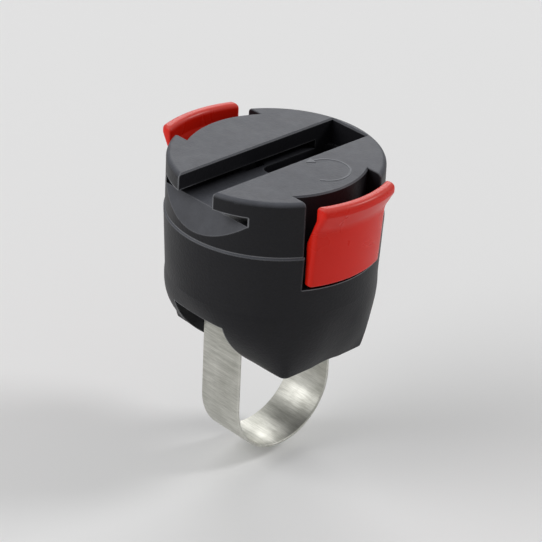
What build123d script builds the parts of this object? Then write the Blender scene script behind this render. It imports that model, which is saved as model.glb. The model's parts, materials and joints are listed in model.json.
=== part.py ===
from build123d import *
import os
from math import cos, radians, sin

# Quick-release phone mount for a 22.2 mm handlebar.
# Frame: origin on the bar's axis under the middle of the body, +X along the bar, +Y along
# the T-slot towards its closed end, +Z up through the head. Millimetres.

# ---- driving dimensions ----
bar_radius = 11.1  # 22.2 mm handlebar
body_radius = 20.0  # at the seam between head and housing

# housing
body_height = 26.0  # foot to seam
foot_sink = 0.1  # the foot's underside lies this far below the top of the bar
foot_length = 30.0  # along the bar
foot_width = 20.0  # across the bar
foot_corner = 1.3
foot_edge = 0.4
hip_drop = 12.0  # the wall is nearly upright this far below the seam
hip_inset = 0.5
waist_length = 36.0  # halfway between hip and foot
waist_width = 33.2
waist_corner = 13.5
side_arc = 26.0  # degrees of the hip circle that flatten into each side
seam_chamfer = 0.3
saddle_relief = 0.5  # room between the arched underside and the bar
wall_thickness = 4.8
recess_wall = 1.55
shelf_height = 16.0  # the bearing plate rests this far above the foot
chamber_floor = 5.0
notch_height = 9.8

# head
head_height = 10.5
head_step = 0.25  # the housing's rim stands this far out round the head
head_taper = 0.3
head_edge = 0.9
slot_gap = 9.0  # between the two lips
slot_end_wall = 1.5
slot_edge = 0.3
channel_width = 21.5
channel_end_wall = 5.7
channel_corner = 2.0
channel_height = 1.7
lip_thickness = 3.2
floor_thickness = 1.8
ramp_run = 3.4
ramp_drop = 4.4
mouth_inset = 0.1
well_length = 12.0  # opening above the clamp screw
well_corner = 1.5
well_offset = 3.2  # its middle lies this far behind the screw's axis
well_end_wall = 0.5  # in the head it runs on to this far before the slot's closed end

# buttons
button_travel = 2.0
button_half_width = 8.5
button_side_gap = 0.45
button_inner_gap = 0.25  # left between pad and recess when pressed home
pad_bottom_drop = 5.9  # below the seam
pad_bottom_proud = 0.55  # how far the pad stands out of the body at its bottom
pad_neck_proud = 1.35  # where the outer face starts to flare
pad_neck_rise = 5.4
pad_flare_rise = 2.5  # the inner face starts to lean outwards here
lip_proud = 3.2
lip_low_rise = 8.8
lip_rise = 10.6
lip_round = 0.8
lip_thickness_in = 2.3
pad_edge = 0.45
pocket_floor_gap = 0.7  # under the pad
pocket_edge = 0.25

# latch slides and their springs
slide_clearance = 0.2
slide_half_width = 3.4
slide_inner_x = 7.4
slide_overhang = 0.25  # past the recess wall, at rest
slide_inner_bar = 1.6
slide_outer_bar = 1.6
slide_rail = 1.2
hook_length = 2.6  # across the slot
hook_width = 4.0
hook_rise = 1.3  # above the channel floor
post_thickness = 1.5
post_width = 3.6
stem_width = 4.4
stem_height = 2.2
stem_clearance = 0.05
stem_root = 0.6  # how far the stem is moulded into the pad
spring_radius = 1.35  # to the middle of the wire
spring_wire = 0.45
spring_turns = 5
spring_seat_gap = 0.03

# slide plate, bearing plate and the clamp screw
plate_thickness = 1.6
plate_edge_gap = 0.15
bearing_thickness = 2.0
screw_radius = 2.5
screw_hole_clearance = 0.1
screw_head_radius = 4.25
screw_head_height = 5.0
screw_head_edge = 0.5
screw_length = 12.0
screw_tip_chamfer = 0.5
socket_flats = 4.0
socket_depth = 2.8
washer_radius = 4.6
washer_thickness = 0.8
clip_radius = 4.0
clip_thickness = 0.8
clip_gap = 0.15
clip_clearance = 0.02
groove_depth = 0.5
clip_mouth = 3.4

# tension yoke, insert, strap
strap_width = 10.0
strap_thickness = 0.55
strap_side_gap = 0.25  # to the yoke's ears
strap_chamber_gap = 0.55
notch_side_gap = 1.5
loop_gap = 0.75  # between the folded strap and the yoke's block
passage_gap = 0.2
yoke_ear = 1.95
yoke_side_gap = 0.4
yoke_height = 5.2
yoke_end_margin = 1.7  # past the pin's axis
yoke_floor_gap = 0.7
yoke_travel = 2.4
yoke_corner = 1.0
insert_radius = 3.6
insert_flange_radius = 3.95
insert_flange = 0.8
insert_clearance = 0.01
insert_margin = 0.05
thread_clearance = 0.05
pin_radius = 1.25
pin_clearance = 0.05
pin_height = 2.5  # above the yoke's underside
pin_end_gap = 0.3
pin_chamfer = 0.2
tail_length = 2.2

# saddle pad
pad_length = 15.2
pad_width = 9.8
pad_pocket_depth = 2.2
pad_pocket_gap = 0.05
pad_grooves = 5
pad_groove_radius = 0.35
pad_groove_step = 8.0  # degrees between grooves

# screws that hold head, slide plate and housing together
tunnel_radius = 2.7
tunnel_wall = 0.7
boss_radius = 2.7
boss_gap = 0.1
post_radius = 3.4
fastener_head_radius = 2.4
fastener_head_height = 1.9
fastener_shank_radius = 1.3
fastener_length = 11.6
fastener_hole_clearance = 0.05
pilot_clearance = 0.01
drive_recess_radius = 1.1
drive_recess_depth = 1.0

# ---- places worked out from the driving dimensions ----
foot_z = bar_radius - foot_sink
seam_z = foot_z + body_height
hip_z = seam_z - hip_drop
shelf_z = foot_z + shelf_height
chamber_floor_z = foot_z + chamber_floor
notch_top_z = foot_z + notch_height
top_z = seam_z + head_height
lip_z = top_z - lip_thickness
floor_z = lip_z - channel_height
ceiling_z = floor_z - floor_thickness
plate_z = seam_z - plate_thickness
bearing_top_z = shelf_z + bearing_thickness
washer_top_z = bearing_top_z + washer_thickness
clip_top_z = shelf_z - clip_gap
slide_z = seam_z + slide_clearance
slide_height = ceiling_z - slide_clearance - slide_z
spring_z = slide_z + slide_height / 2

hip_radius = body_radius - hip_inset
head_base_radius = body_radius - head_step
head_top_radius = body_radius - head_taper
cavity_radius = body_radius - wall_thickness
recess_radius = cavity_radius + recess_wall
recess_half_width = button_half_width + button_side_gap
pad_inner_radius = recess_radius + button_travel + button_inner_gap
slide_outer_x = recess_radius + slide_overhang
slot_end_y = head_top_radius - slot_end_wall
channel_end_y = head_top_radius - channel_end_wall
mouth_y = body_radius - mouth_inset

strap_outer_y = bar_radius + strap_thickness
pin_y = bar_radius - pin_clearance - pin_radius
loop_inner = pin_radius + pin_clearance
loop_outer = loop_inner + strap_thickness
yoke_block_half_y = pin_y - loop_outer - loop_gap
yoke_end_y = pin_y + yoke_end_margin
loop_passage_y = yoke_block_half_y + passage_gap
chamber_half_y = strap_outer_y + strap_chamber_gap
ear_inner_x = strap_width / 2 + strap_side_gap
yoke_half_x = ear_inner_x + yoke_ear
chamber_half_x = yoke_half_x + yoke_side_gap
yoke_bottom_z = chamber_floor_z + yoke_travel + yoke_floor_gap
yoke_top_z = yoke_bottom_z + yoke_height
pin_z = yoke_bottom_z + pin_height
notch_width = strap_width + 2 * notch_side_gap
screw_y = yoke_block_half_y - insert_flange_radius - insert_margin
well_y = screw_y + well_offset

post_x = chamber_half_x + tunnel_wall + tunnel_radius
post_y = slide_half_width + slide_clearance + boss_gap + boss_radius
post_spots = [(sx * post_x, sy * post_y) for sx in (-1, 1) for sy in (-1, 1)]
outside = 3 * body_radius  # larger than any piece, for cutting tools

os.makedirs("parts", exist_ok=True)


def finish(piece, name):
    """Label a finished piece and write it to its own file."""
    piece.label = name
    export_step(piece, f"parts/{name}.step")


def pocket_edges(builder, shortest):
    """The upright edges where a button's recess opens in the outer wall."""
    found = []
    for edge in builder.edges():
        middle = edge @ 0.5
        beside = abs(abs(middle.Y) - recess_half_width) < pocket_edge
        if beside and abs(middle.X) > recess_radius and edge.length > shortest:
            found.append(edge)
    return found


# ---- housing ----
def split_circle(radius):
    """A circle drawn as eight arcs that pair with a rounded rectangle's sides and corners."""
    with BuildSketch() as outline:
        with BuildLine():
            for quarter in range(4):
                start = 90 * quarter - side_arc / 2
                CenterArc((0, 0), radius, start, side_arc)
                CenterArc((0, 0), radius, start + side_arc, 90 - side_arc)
        make_face()
    return outline.sketch


with BuildPart() as housing:
    # upright band under the seam
    with BuildSketch(Plane.XY.offset(seam_z)):
        add(split_circle(body_radius))
    with BuildSketch(Plane.XY.offset(hip_z)):
        add(split_circle(hip_radius))
    loft(ruled=True)
    chamfer(housing.edges().group_by(Axis.Z)[-1], seam_chamfer)
    # from the hip down to the rectangular foot
    with BuildSketch(Plane.XY.offset(hip_z)):
        add(split_circle(hip_radius))
    with BuildSketch(Plane.XY.offset((hip_z + foot_z) / 2)):
        RectangleRounded(waist_length, waist_width, waist_corner)
    with BuildSketch(Plane.XY.offset(foot_z)):
        RectangleRounded(foot_length, foot_width, foot_corner)
    loft()
    fillet(housing.edges().group_by(Axis.Z)[0], foot_edge)
    # cavity for the plates, with a post at each fastener
    with BuildSketch(Plane.XY.offset(shelf_z)):
        Circle(cavity_radius)
        with Locations(*post_spots):
            Circle(post_radius, mode=Mode.SUBTRACT)
    extrude(amount=plate_z - shelf_z, mode=Mode.SUBTRACT)
    with BuildSketch(Plane.XY.offset(plate_z)):
        Circle(cavity_radius)
    extrude(amount=seam_z - plate_z, mode=Mode.SUBTRACT)
    # pockets that the pressed buttons sink into
    with BuildSketch(Plane.XY.offset(seam_z - pad_bottom_drop - pocket_floor_gap)):
        Rectangle(outside, 2 * recess_half_width)
        Circle(recess_radius, mode=Mode.SUBTRACT)
    extrude(amount=outside, mode=Mode.SUBTRACT)
    fillet(pocket_edges(housing, pad_bottom_drop), pocket_edge)
    # chamber for the tension yoke
    with BuildSketch(Plane.XY.offset(chamber_floor_z)):
        Rectangle(2 * chamber_half_x, 2 * chamber_half_y)
    extrude(amount=shelf_z - chamber_floor_z, mode=Mode.SUBTRACT)
    # notches where the strap comes out, open to the chamber
    with BuildSketch(Plane.XY):
        Rectangle(notch_width, outside)
        Rectangle(notch_width, 2 * loop_passage_y, mode=Mode.SUBTRACT)
    extrude(amount=notch_top_z, mode=Mode.SUBTRACT)
    # arched underside and the saddle pad's pocket
    with BuildSketch(Plane.YZ.offset(-outside / 2)):
        Circle(bar_radius + saddle_relief)
    extrude(amount=outside, mode=Mode.SUBTRACT)
    with BuildSketch(Plane.XY):
        Rectangle(pad_length + 2 * pad_pocket_gap, pad_width + 2 * pad_pocket_gap)
    extrude(amount=foot_z + pad_pocket_depth, mode=Mode.SUBTRACT)
    # screwdriver tunnels from below, and the fasteners' holes above them
    with BuildSketch(Plane.XY):
        with Locations(*post_spots):
            Circle(tunnel_radius)
    extrude(amount=bearing_top_z, mode=Mode.SUBTRACT)
    with BuildSketch(Plane.XY):
        with Locations(*post_spots):
            Circle(fastener_shank_radius + fastener_hole_clearance)
    extrude(amount=plate_z, mode=Mode.SUBTRACT)
finish(housing.part, "housing")

# ---- head ----
# the small chamfer along the top of both button recesses
with BuildPart() as recess_edge_cut:
    with BuildSketch(Plane.XZ):
        with BuildLine():
            Polyline(
                (recess_radius + slot_edge, top_z - 2 * slot_edge),
                (recess_radius + slot_edge, top_z + slot_edge),
                (recess_radius - 2 * slot_edge, top_z + slot_edge),
                close=True,
            )
        make_face()
    revolve(axis=Axis.Z)
    with BuildSketch(Plane.XY.offset(seam_z)):
        Rectangle(outside, 2 * recess_half_width)
    extrude(amount=outside, mode=Mode.INTERSECT)

with BuildPart() as head:
    with BuildSketch(Plane.XZ):
        with BuildLine():
            Polyline(
                (0, seam_z),
                (head_base_radius, seam_z),
                (head_top_radius, top_z),
                (0, top_z),
                close=True,
            )
        make_face()
    revolve(axis=Axis.Z)
    fillet(head.edges().group_by(Axis.Z)[-1], head_edge)
    # hollow under the floor, with a boss at each fastener
    with BuildSketch(Plane.XY.offset(seam_z)):
        Circle(cavity_radius)
        with Locations(*post_spots):
            Circle(boss_radius, mode=Mode.SUBTRACT)
    extrude(amount=ceiling_z - seam_z, mode=Mode.SUBTRACT)
    # T-slot: the narrow gap, the wide channel and the lead-in ramp at the mouth
    with BuildSketch(Plane.XY.offset(floor_z)):
        with Locations((0, (slot_end_y - outside) / 2)):
            Rectangle(slot_gap, slot_end_y + outside)
    extrude(amount=outside, mode=Mode.SUBTRACT)
    for z, edge in ((top_z - slot_edge, 0), (top_z, slot_edge)):
        with BuildSketch(Plane.XY.offset(z)):
            with Locations((0, (slot_end_y - outside) / 2 + edge)):
                Rectangle(slot_gap + 2 * edge, slot_end_y + outside)
    loft(mode=Mode.SUBTRACT)
    with BuildSketch(Plane.XY.offset(floor_z)):
        with BuildLine():
            half = channel_width / 2
            FilletPolyline(
                (-half, -body_radius),
                (-half, channel_end_y),
                (half, channel_end_y),
                (half, -body_radius),
                radius=channel_corner,
            )
            Line((half, -body_radius), (-half, -body_radius))
        make_face()
    extrude(amount=channel_height, mode=Mode.SUBTRACT)
    with BuildSketch(Plane.YZ.offset(-channel_width / 2)):
        with BuildLine():
            Polyline(
                (-mouth_y + ramp_run, floor_z),
                (-mouth_y, floor_z - ramp_drop),
                (-outside / 2, floor_z - ramp_drop),
                (-outside / 2, lip_z),
                (-mouth_y + ramp_run, lip_z),
                close=True,
            )
        make_face()
    extrude(amount=channel_width, mode=Mode.SUBTRACT)
    # well in the floor, from above the clamp screw to the closed end
    well_start_y = well_y - well_length / 2
    well_end_y = slot_end_y - well_end_wall
    with BuildSketch(Plane.XY.offset(ceiling_z)):
        with Locations((0, (well_start_y + well_end_y) / 2)):
            RectangleRounded(slot_gap, well_end_y - well_start_y, well_corner)
    extrude(amount=floor_thickness, mode=Mode.SUBTRACT)
    # windows in the floor for the latch hooks
    with BuildSketch(Plane.XY.offset(ceiling_z)):
        for side in (-1, 1):
            with Locations((side * (slide_inner_x + (hook_length - button_travel) / 2), 0)):
                Rectangle(
                    hook_length + button_travel + 2 * slide_clearance,
                    hook_width + 2 * slide_clearance,
                )
    extrude(amount=floor_thickness, mode=Mode.SUBTRACT)
    # button recesses, and the windows that the slides pass through
    with BuildSketch(Plane.XY.offset(seam_z)):
        Rectangle(outside, 2 * recess_half_width)
        Circle(recess_radius, mode=Mode.SUBTRACT)
    extrude(amount=outside, mode=Mode.SUBTRACT)
    add(recess_edge_cut.part, mode=Mode.SUBTRACT)
    with BuildSketch(Plane.XY.offset(seam_z)):
        Rectangle(outside, 2 * (slide_half_width + slide_clearance))
    extrude(amount=ceiling_z - seam_z, mode=Mode.SUBTRACT)
    # pilot holes
    with BuildSketch(Plane.XY.offset(seam_z)):
        with Locations(*post_spots):
            Circle(fastener_shank_radius + pilot_clearance)
    extrude(amount=ceiling_z - seam_z, mode=Mode.SUBTRACT)
    fillet(pocket_edges(head, head_height / 2), pocket_edge)
finish(head.part, "head")

# ---- slide plate, with the posts that the springs push against ----
post_inner_x = slide_inner_x + slide_inner_bar + slide_clearance
post_outer_x = post_inner_x + post_thickness
with BuildPart() as slide_plate:
    with BuildSketch(Plane.XY.offset(plate_z)):
        Circle(cavity_radius - plate_edge_gap)
        with Locations((0, well_y)):
            RectangleRounded(slot_gap, well_length, well_corner, mode=Mode.SUBTRACT)
        with Locations(*post_spots):
            Circle(fastener_shank_radius + fastener_hole_clearance, mode=Mode.SUBTRACT)
    extrude(amount=plate_thickness)
    with BuildSketch(Plane.XY.offset(seam_z)):
        for side in (-1, 1):
            with Locations((side * (post_inner_x + post_outer_x) / 2, 0)):
                Rectangle(post_thickness, post_width)
    extrude(amount=slide_height)
finish(slide_plate.part, "slide_plate")

# ---- latch slides ----
def build_latch(side):
    """A slide frame round the spring, with a ramped hook at its inner end."""
    length = slide_outer_x - slide_inner_x
    window_inner_x = slide_inner_x + slide_inner_bar
    window_length = length - slide_inner_bar - slide_outer_bar
    hook_base_z = slide_z + slide_height
    hook_top_z = floor_z + hook_rise
    with BuildPart() as latch:
        with BuildSketch(Plane.XY.offset(slide_z)):
            with Locations((side * (slide_inner_x + length / 2), 0)):
                Rectangle(length, 2 * slide_half_width)
            with Locations((side * (window_inner_x + window_length / 2), 0)):
                Rectangle(window_length, 2 * (slide_half_width - slide_rail), mode=Mode.SUBTRACT)
        extrude(amount=slide_height)
        # hole in the outer bar for the button's stem
        with BuildSketch(Plane.YZ.offset(side * (slide_outer_x - slide_outer_bar))):
            with Locations((0, spring_z)):
                Rectangle(stem_width + 2 * stem_clearance, stem_height + 2 * stem_clearance)
        extrude(amount=side * slide_outer_bar, mode=Mode.SUBTRACT)
        with BuildSketch(Plane.XZ.offset(-hook_width / 2)):
            with BuildLine():
                Polyline(
                    (side * slide_inner_x, hook_base_z),
                    (side * (slide_inner_x + slide_inner_bar), hook_base_z),
                    (side * (slide_inner_x + slide_inner_bar), ceiling_z),
                    (side * (slide_inner_x + slide_inner_bar), floor_z),
                    (side * (slide_inner_x + hook_length), floor_z + slide_clearance),
                    (side * (slide_inner_x + hook_length), hook_top_z),
                    (side * (slide_inner_x + hook_length / 2), hook_top_z),
                    (side * slide_inner_x, floor_z + slide_clearance),
                    close=True,
                )
            make_face()
        extrude(amount=hook_width)
    return latch.part


# ---- buttons ----
def build_button(side):
    """A curved pad that flares into a lip at the top, with a stem on its inner face."""
    neck_z = seam_z + pad_neck_rise
    low_z = seam_z + lip_low_rise
    lip_top_z = seam_z + lip_rise
    lip_radius = body_radius + lip_proud
    with BuildPart() as button:
        with BuildSketch(Plane.XZ):
            with BuildLine():
                Polyline(
                    (pad_inner_radius, seam_z - pad_bottom_drop),
                    (body_radius + pad_bottom_proud, seam_z - pad_bottom_drop),
                    (body_radius + pad_neck_proud, neck_z),
                    (lip_radius, low_z),
                    (lip_radius, lip_top_z - lip_round),
                    (lip_radius - lip_round, lip_top_z),
                    (lip_radius - lip_thickness_in, lip_top_z),
                    (lip_radius - lip_thickness_in, low_z),
                    (pad_inner_radius, seam_z + pad_flare_rise),
                    close=True,
                )
            make_face()
        revolve(axis=Axis.Z)
        with BuildSketch(Plane.XY.offset(seam_z - pad_bottom_drop)):
            with Locations((side * outside / 2, 0)):
                Rectangle(outside, 2 * button_half_width)
        extrude(amount=outside, mode=Mode.INTERSECT)
        ends = button.faces().filter_by(Axis.Y).edges()
        fillet(ends, pad_edge)
        stem_inner_x = slide_outer_x - slide_outer_bar
        with BuildSketch(Plane.YZ.offset(side * stem_inner_x)):
            with Locations((0, spring_z)):
                Rectangle(stem_width, stem_height)
        extrude(amount=side * (pad_inner_radius + stem_root - stem_inner_x))
    return button.part


# ---- return springs ----
def build_spring(side):
    """A compression spring along X, between the plate's post and the slide's outer bar."""
    inner_x = post_outer_x + spring_seat_gap
    outer_x = slide_outer_x - slide_outer_bar - spring_seat_gap
    length = outer_x - inner_x - spring_wire
    start = side * (inner_x + spring_wire / 2)
    with BuildPart() as spring:
        with BuildLine():
            coil = Helix(
                length / spring_turns,
                length,
                spring_radius,
                center=(start, 0, spring_z),
                direction=(side, 0, 0),
            )
        with BuildSketch(Plane(origin=coil @ 0, z_dir=coil % 0)):
            Circle(spring_wire / 2)
        sweep(path=coil, is_frenet=True)
    return spring.part


for side, name in ((1, "right"), (-1, "left")):
    finish(build_latch(side), f"latch_{name}")
    finish(build_button(side), f"button_{name}")
    finish(build_spring(side), f"return_spring_{name}")

# ---- bearing plate ----
with BuildPart() as bearing_plate:
    with BuildSketch(Plane.XY.offset(shelf_z)):
        Circle(cavity_radius - plate_edge_gap)
        with Locations(*post_spots):
            Circle(post_radius + plate_edge_gap, mode=Mode.SUBTRACT)
        with Locations((0, screw_y)):
            Circle(screw_radius + screw_hole_clearance, mode=Mode.SUBTRACT)
    extrude(amount=bearing_thickness)
finish(bearing_plate.part, "bearing_plate")

# ---- washer ----
with BuildPart() as screw_washer:
    with BuildSketch(Plane.XY.offset(bearing_top_z)):
        with Locations((0, screw_y)):
            Circle(washer_radius)
            Circle(screw_radius + screw_hole_clearance, mode=Mode.SUBTRACT)
    extrude(amount=washer_thickness)
finish(screw_washer.part, "screw_washer")

# ---- clamp screw ----
with BuildPart() as clamp_screw:
    with BuildSketch(Plane.XY.offset(washer_top_z)):
        with Locations((0, screw_y)):
            Circle(screw_head_radius)
    extrude(amount=screw_head_height)
    fillet(clamp_screw.edges().group_by(Axis.Z)[-1], screw_head_edge)
    with BuildSketch(Plane.XY.offset(washer_top_z + screw_head_height)):
        with Locations((0, screw_y)):
            RegularPolygon(socket_flats / 2, 6, major_radius=False)
    extrude(amount=-socket_depth, mode=Mode.SUBTRACT)
    with BuildSketch(Plane.XY.offset(washer_top_z)):
        with Locations((0, screw_y)):
            Circle(screw_radius)
    extrude(amount=-screw_length)
    chamfer(clamp_screw.edges().group_by(Axis.Z)[0], screw_tip_chamfer)
    with BuildSketch(Plane.XY.offset(clip_top_z)):
        with Locations((0, screw_y)):
            Circle(screw_head_radius)
            Circle(screw_radius - groove_depth, mode=Mode.SUBTRACT)
    extrude(amount=-clip_thickness, mode=Mode.SUBTRACT)
finish(clamp_screw.part, "clamp_screw")

# ---- retaining clip ----
with BuildPart() as retaining_clip:
    with BuildSketch(Plane.XY.offset(clip_top_z)):
        with Locations((0, screw_y)):
            Circle(clip_radius)
            Circle(screw_radius - groove_depth + clip_clearance, mode=Mode.SUBTRACT)
        with Locations((clip_radius, screw_y)):
            Rectangle(2 * clip_radius, clip_mouth, mode=Mode.SUBTRACT)
    extrude(amount=-clip_thickness)
finish(retaining_clip.part, "retaining_clip")

# ---- tension yoke ----
with BuildPart() as tension_yoke:
    with BuildSketch(Plane.XY.offset(yoke_bottom_z)):
        Rectangle(2 * yoke_half_x, 2 * yoke_end_y)
        for side in (-1, 1):
            with Locations((0, side * (yoke_block_half_y + yoke_end_y) / 2)):
                Rectangle(2 * ear_inner_x, yoke_end_y - yoke_block_half_y, mode=Mode.SUBTRACT)
    extrude(amount=yoke_top_z - yoke_bottom_z)
    fillet(tension_yoke.edges().filter_by(Axis.Z).sort_by(SortBy.DISTANCE)[-4:], yoke_corner)
    # open-topped seats for the strap's pins
    with BuildSketch(Plane.YZ.offset(-yoke_half_x)):
        for side in (-1, 1):
            with Locations((side * pin_y, pin_z)):
                Circle(pin_radius + pin_clearance)
            with Locations((side * pin_y, pin_z + (yoke_top_z - pin_z) / 2)):
                Rectangle(2 * (pin_radius + pin_clearance), yoke_top_z - pin_z)
    extrude(amount=2 * yoke_half_x, mode=Mode.SUBTRACT)
    # bore for the insert, counterbored for its flange
    with BuildSketch(Plane.XY.offset(yoke_bottom_z)):
        with Locations((0, screw_y)):
            Circle(insert_radius)
    extrude(amount=yoke_top_z - yoke_bottom_z, mode=Mode.SUBTRACT)
    with BuildSketch(Plane.XY.offset(yoke_bottom_z)):
        with Locations((0, screw_y)):
            Circle(insert_flange_radius)
    extrude(amount=insert_flange, mode=Mode.SUBTRACT)
finish(tension_yoke.part, "tension_yoke")

# ---- threaded insert ----
with BuildPart() as threaded_insert:
    with BuildSketch(Plane.XY.offset(yoke_bottom_z)):
        with Locations((0, screw_y)):
            Circle(insert_radius - insert_clearance)
    extrude(amount=yoke_top_z - yoke_bottom_z)
    with BuildSketch(Plane.XY.offset(yoke_bottom_z)):
        with Locations((0, screw_y)):
            Circle(insert_flange_radius - insert_clearance)
    extrude(amount=insert_flange)
    with BuildSketch(Plane.XY.offset(yoke_bottom_z)):
        with Locations((0, screw_y)):
            Circle(screw_radius + thread_clearance)
    extrude(amount=yoke_top_z - yoke_bottom_z, mode=Mode.SUBTRACT)
finish(threaded_insert.part, "threaded_insert")

# ---- strap: round the bar, up both sides, folded over a pin at each end ----
tail_y = pin_y - (loop_inner + loop_outer) / 2


def half_ring(y, z, inner, outer, start_angle):
    """Half a flat ring round (y, z)."""
    with BuildSketch() as ring:
        with BuildLine():
            CenterArc((y, z), outer, start_angle, 180)
            CenterArc((y, z), inner, start_angle, 180)
            Line((y - outer, z), (y - inner, z))
            Line((y + inner, z), (y + outer, z))
        make_face()
    return ring.sketch


with BuildPart() as strap:
    with BuildSketch(Plane.YZ.offset(-strap_width / 2)):
        add(half_ring(0, 0, bar_radius, strap_outer_y, 180))
        for side in (-1, 1):
            add(half_ring(side * pin_y, pin_z, loop_inner, loop_outer, 0))
            with Locations((side * (bar_radius + strap_outer_y) / 2, pin_z / 2)):
                Rectangle(strap_thickness, pin_z)
            with Locations((side * tail_y, pin_z - tail_length / 2)):
                Rectangle(strap_thickness, tail_length)
    extrude(amount=strap_width)
finish(strap.part, "strap")

# ---- pins through the strap's folded ends ----
pin_half_length = chamber_half_x - pin_end_gap
for side, name in ((-1, "front"), (1, "rear")):
    with BuildPart() as strap_pin:
        with BuildSketch(Plane.YZ.offset(-pin_half_length)):
            with Locations((side * pin_y, pin_z)):
                Circle(pin_radius)
        extrude(amount=2 * pin_half_length)
        chamfer(strap_pin.edges().filter_by(GeomType.CIRCLE), pin_chamfer)
    finish(strap_pin.part, f"strap_pin_{name}")

# ---- saddle pad ----
with BuildPart() as saddle_pad:
    with BuildSketch(Plane.XY):
        Rectangle(pad_length, pad_width)
    extrude(amount=foot_z + pad_pocket_depth)
    with BuildSketch(Plane.YZ.offset(-outside / 2)):
        Circle(bar_radius)
        for groove in range(pad_grooves):
            angle = radians(90 + pad_groove_step * (groove - (pad_grooves - 1) / 2))
            with Locations((bar_radius * cos(angle), bar_radius * sin(angle))):
                Circle(pad_groove_radius)
    extrude(amount=outside, mode=Mode.SUBTRACT)
finish(saddle_pad.part, "saddle_pad")

# ---- screws from below, through the housing and the slide plate into the head ----
with BuildPart() as housing_screws:
    with BuildSketch(Plane.XY.offset(bearing_top_z)):
        with Locations(*post_spots):
            Circle(fastener_head_radius)
    extrude(amount=-fastener_head_height)
    with BuildSketch(Plane.XY.offset(bearing_top_z)):
        with Locations(*post_spots):
            Circle(fastener_shank_radius)
    extrude(amount=fastener_length)
    with BuildSketch(Plane.XY.offset(bearing_top_z - fastener_head_height)):
        with Locations(*post_spots):
            RegularPolygon(drive_recess_radius, 6)
    extrude(amount=drive_recess_depth, mode=Mode.SUBTRACT)
finish(housing_screws.part, "housing_screws")
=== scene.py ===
"""Looks of a quick-release phone mount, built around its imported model.

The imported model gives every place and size. This script dresses the moulded shells, makes
the turned, coiled, bent and moulded pieces as meshes of their own, and sets up a plain
studio. Lengths are in metres; MM turns a size in millimetres into metres.
"""

from __future__ import annotations

import json
import logging
import math
from dataclasses import dataclass
from enum import Enum
from typing import Callable, Sequence

import bmesh
import bpy
from mathutils import Matrix, Vector


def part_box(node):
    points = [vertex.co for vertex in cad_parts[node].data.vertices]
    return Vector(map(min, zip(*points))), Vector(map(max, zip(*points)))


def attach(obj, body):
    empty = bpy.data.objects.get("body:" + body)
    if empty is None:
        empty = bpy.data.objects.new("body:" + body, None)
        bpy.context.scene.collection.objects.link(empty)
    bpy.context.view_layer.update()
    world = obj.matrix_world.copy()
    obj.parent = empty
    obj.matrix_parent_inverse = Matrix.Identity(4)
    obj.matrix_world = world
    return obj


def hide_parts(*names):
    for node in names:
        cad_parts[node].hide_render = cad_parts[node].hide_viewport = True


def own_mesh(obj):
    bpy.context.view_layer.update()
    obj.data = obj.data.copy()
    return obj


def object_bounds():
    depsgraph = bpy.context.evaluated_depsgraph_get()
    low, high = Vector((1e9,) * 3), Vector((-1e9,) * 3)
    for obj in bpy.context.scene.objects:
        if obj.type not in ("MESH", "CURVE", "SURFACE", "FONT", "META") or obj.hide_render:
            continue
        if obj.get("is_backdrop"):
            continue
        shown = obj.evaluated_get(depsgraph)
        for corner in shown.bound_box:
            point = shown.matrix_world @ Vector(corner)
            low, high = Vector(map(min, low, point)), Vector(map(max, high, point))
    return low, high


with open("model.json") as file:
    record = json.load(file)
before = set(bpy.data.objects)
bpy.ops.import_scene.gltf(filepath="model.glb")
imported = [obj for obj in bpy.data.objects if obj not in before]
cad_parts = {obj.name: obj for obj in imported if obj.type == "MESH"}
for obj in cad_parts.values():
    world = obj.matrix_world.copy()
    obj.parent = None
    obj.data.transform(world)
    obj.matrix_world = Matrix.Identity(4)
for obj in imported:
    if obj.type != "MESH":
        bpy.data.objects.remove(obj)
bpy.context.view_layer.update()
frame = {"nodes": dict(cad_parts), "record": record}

MM = 0.001
TURN = 2 * math.pi
LOG = logging.getLogger("phone_mount")

Colour = tuple[float, float, float]
Point2 = tuple[float, float]
Face = tuple[int, ...]
RadiusAt = Callable[[float], float]

ROUND_STEPS = 6  # straight pieces in each rounded corner of an outline
PIN_HOLE = 0.05 * MM  # radius at which the bottom of a socket or recess closes
M5_PITCH = 0.8 * MM


class Side(Enum):
    """The two sides of the mount, by the sign of X."""

    RIGHT = 1
    LEFT = -1

    @property
    def word(self) -> str:
        """The side's word in the names of nodes, joints and bodies."""
        return self.name.lower()


class Grain(Enum):
    """Which way the fine lines of a metal surface run."""

    ALONG_X = (12.0, 1.0, 1.0)
    EVEN = (1.0, 1.0, 1.0)


# ---- small geometry helpers ----


def rounded_outline(corners: Sequence[tuple[float, float, float]],
                    steps: int = ROUND_STEPS) -> list[Point2]:
    """Turn a closed polygon with a radius at each corner into points along its outline.

    Args:
        corners: (u, v, radius) for each corner, in order round the outline.
        steps: Straight pieces in each rounded corner.

    Returns:
        The outline's points in the same order.
    """
    points: list[Point2] = []
    count = len(corners)
    for index, (u, v, radius) in enumerate(corners):
        here = Vector((u, v))
        if radius <= 0:
            points.append((u, v))
            continue
        before = (Vector(corners[index - 1][:2]) - here).normalized()
        after = (Vector(corners[(index + 1) % count][:2]) - here).normalized()
        half = before.angle(after) / 2
        centre = here + (before + after).normalized() * (radius / math.sin(half))
        start = here + before * (radius / math.tan(half)) - centre
        end = here + after * (radius / math.tan(half)) - centre
        sweep = start.angle_signed(end)
        for step in range(steps + 1):
            angle = -sweep * step / steps
            turned = Matrix.Rotation(angle, 2) @ start
            points.append(tuple(centre + turned))
    return points


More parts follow.
